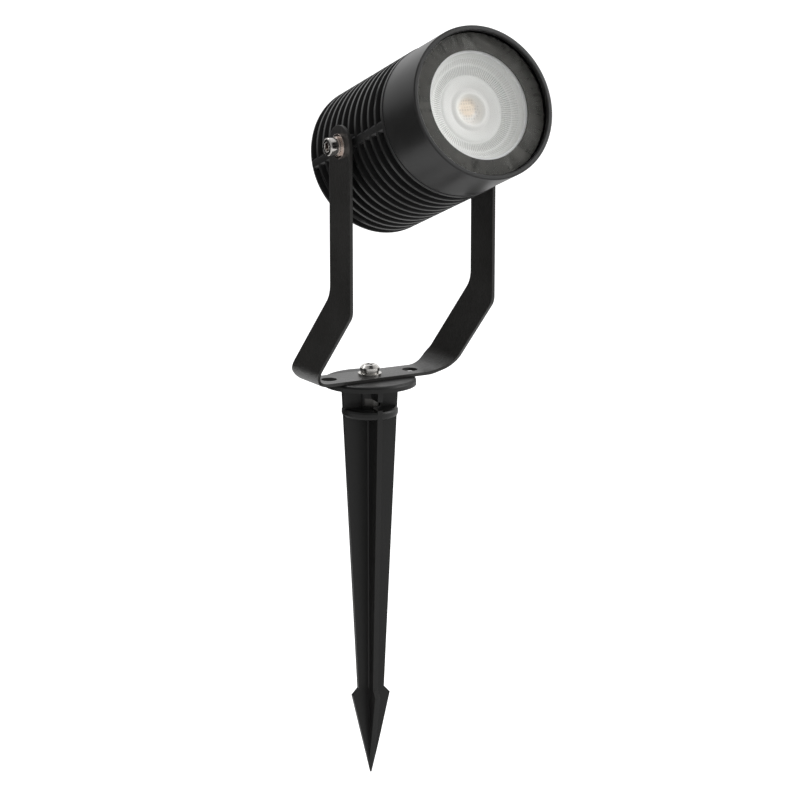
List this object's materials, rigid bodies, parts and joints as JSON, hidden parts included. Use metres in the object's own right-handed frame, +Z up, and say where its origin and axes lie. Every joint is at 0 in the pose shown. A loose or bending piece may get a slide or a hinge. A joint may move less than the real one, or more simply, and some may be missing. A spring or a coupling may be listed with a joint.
{
  "type": "garden spike spotlight",
  "caption": "Outdoor spotlight with a finned cylindrical head that tilts in a dog-leg U bracket, on a ribbed ground spike.",
  "frame": {"origin": "on the spike's axis at soil level, the underside of the spike's round flange", "axes": "+Z up along the spike, +X along the head's pivot axis, the lamp looks towards -Y and 21.2 degrees up"},
  "size_m": [0.0888, 0.1335, 0.3686],
  "materials": {
    "black_powder_coat": "satin powder coat",
    "spike_plastic": "matt moulded",
    "stainless_steel": "satin",
    "zinc_steel": "zinc plated",
    "black_rubber": "matt",
    "black_nylon": "matt moulded",
    "clear_glass": "polished",
    "dark_grey_coat": "matt",
    "white_shell": "satin moulded",
    "frosted_lens": "patterned, translucent",
    "white_board": "white lacquer",
    "yellow_phosphor": "soft silicone",
    "nickel_pins": "bright",
    "brass": "bare",
    "white_ceramic": "unglazed",
    "white_nylon": "moulded",
    "brown_insulation": "smooth",
    "blue_insulation": "smooth",
    "green_insulation": "smooth"
  },
  "bodies": {
    "ground_spike": {"spike": "spike_plastic", "spike_nut": "stainless_steel", "base_screw": "stainless_steel", "base_spring_washer": "stainless_steel", "base_washer": "stainless_steel"},
    "bracket": {"bracket": "black_powder_coat"},
    "head": {"barrel_housing": "black_powder_coat", "cap_seal": "black_rubber", "pivot_screws": "stainless_steel", "pivot_spring_washers": "stainless_steel", "pivot_washers": "stainless_steel", "lamp_holder": "white_ceramic", "holder_contacts": "brass", "holder_plate": "zinc_steel", "holder_screws": "zinc_steel", "live_lead": "brown_insulation", "neutral_lead": "blue_insulation", "earth_lead": "green_insulation", "earth_lug": "zinc_steel", "earth_screw": "brass", "terminal_block": "white_nylon", "terminal_screws": "zinc_steel", "gland_body": "black_nylon", "gland_gasket": "black_rubber", "gland_locknut": "black_nylon", "gland_nut": "black_nylon", "gland_seal": "black_rubber"},
    "cap": {"front_cap": "black_powder_coat", "front_glass": "clear_glass", "mask_ring": "dark_grey_coat", "glass_gasket": "black_rubber"},
    "lamp": {"lamp_body": "white_shell", "lamp_lens": "frosted_lens", "led_board": "white_board", "led_chip": "yellow_phosphor", "lamp_pins": "nickel_pins"}
  },
  "joints": [
    {"name": "bracket_swivel", "type": "hinge", "parent": "ground_spike", "child": "bracket", "pos_m": [0, 0, 0.0031], "axis": [0, 0, 1], "continuous": true},
    {"name": "head_tilt", "type": "hinge", "parent": "bracket", "child": "head", "pos_m": [0, -0.0399, 0.1196], "axis": [-1, 0, 0], "range_deg": [-111.2, 68.8]},
    {"name": "cap_lift_off", "type": "slide", "parent": "head", "child": "cap", "axis": [0, -0.9323, 0.3616], "range_m": [0, 0.03]},
    {"name": "lamp_twist", "type": "hinge", "parent": "head", "child": "lamp", "pos_m": [0, -0.0399, 0.1196], "axis": [0, -0.9323, 0.3616], "range_deg": [0, 18]}
  ]
}
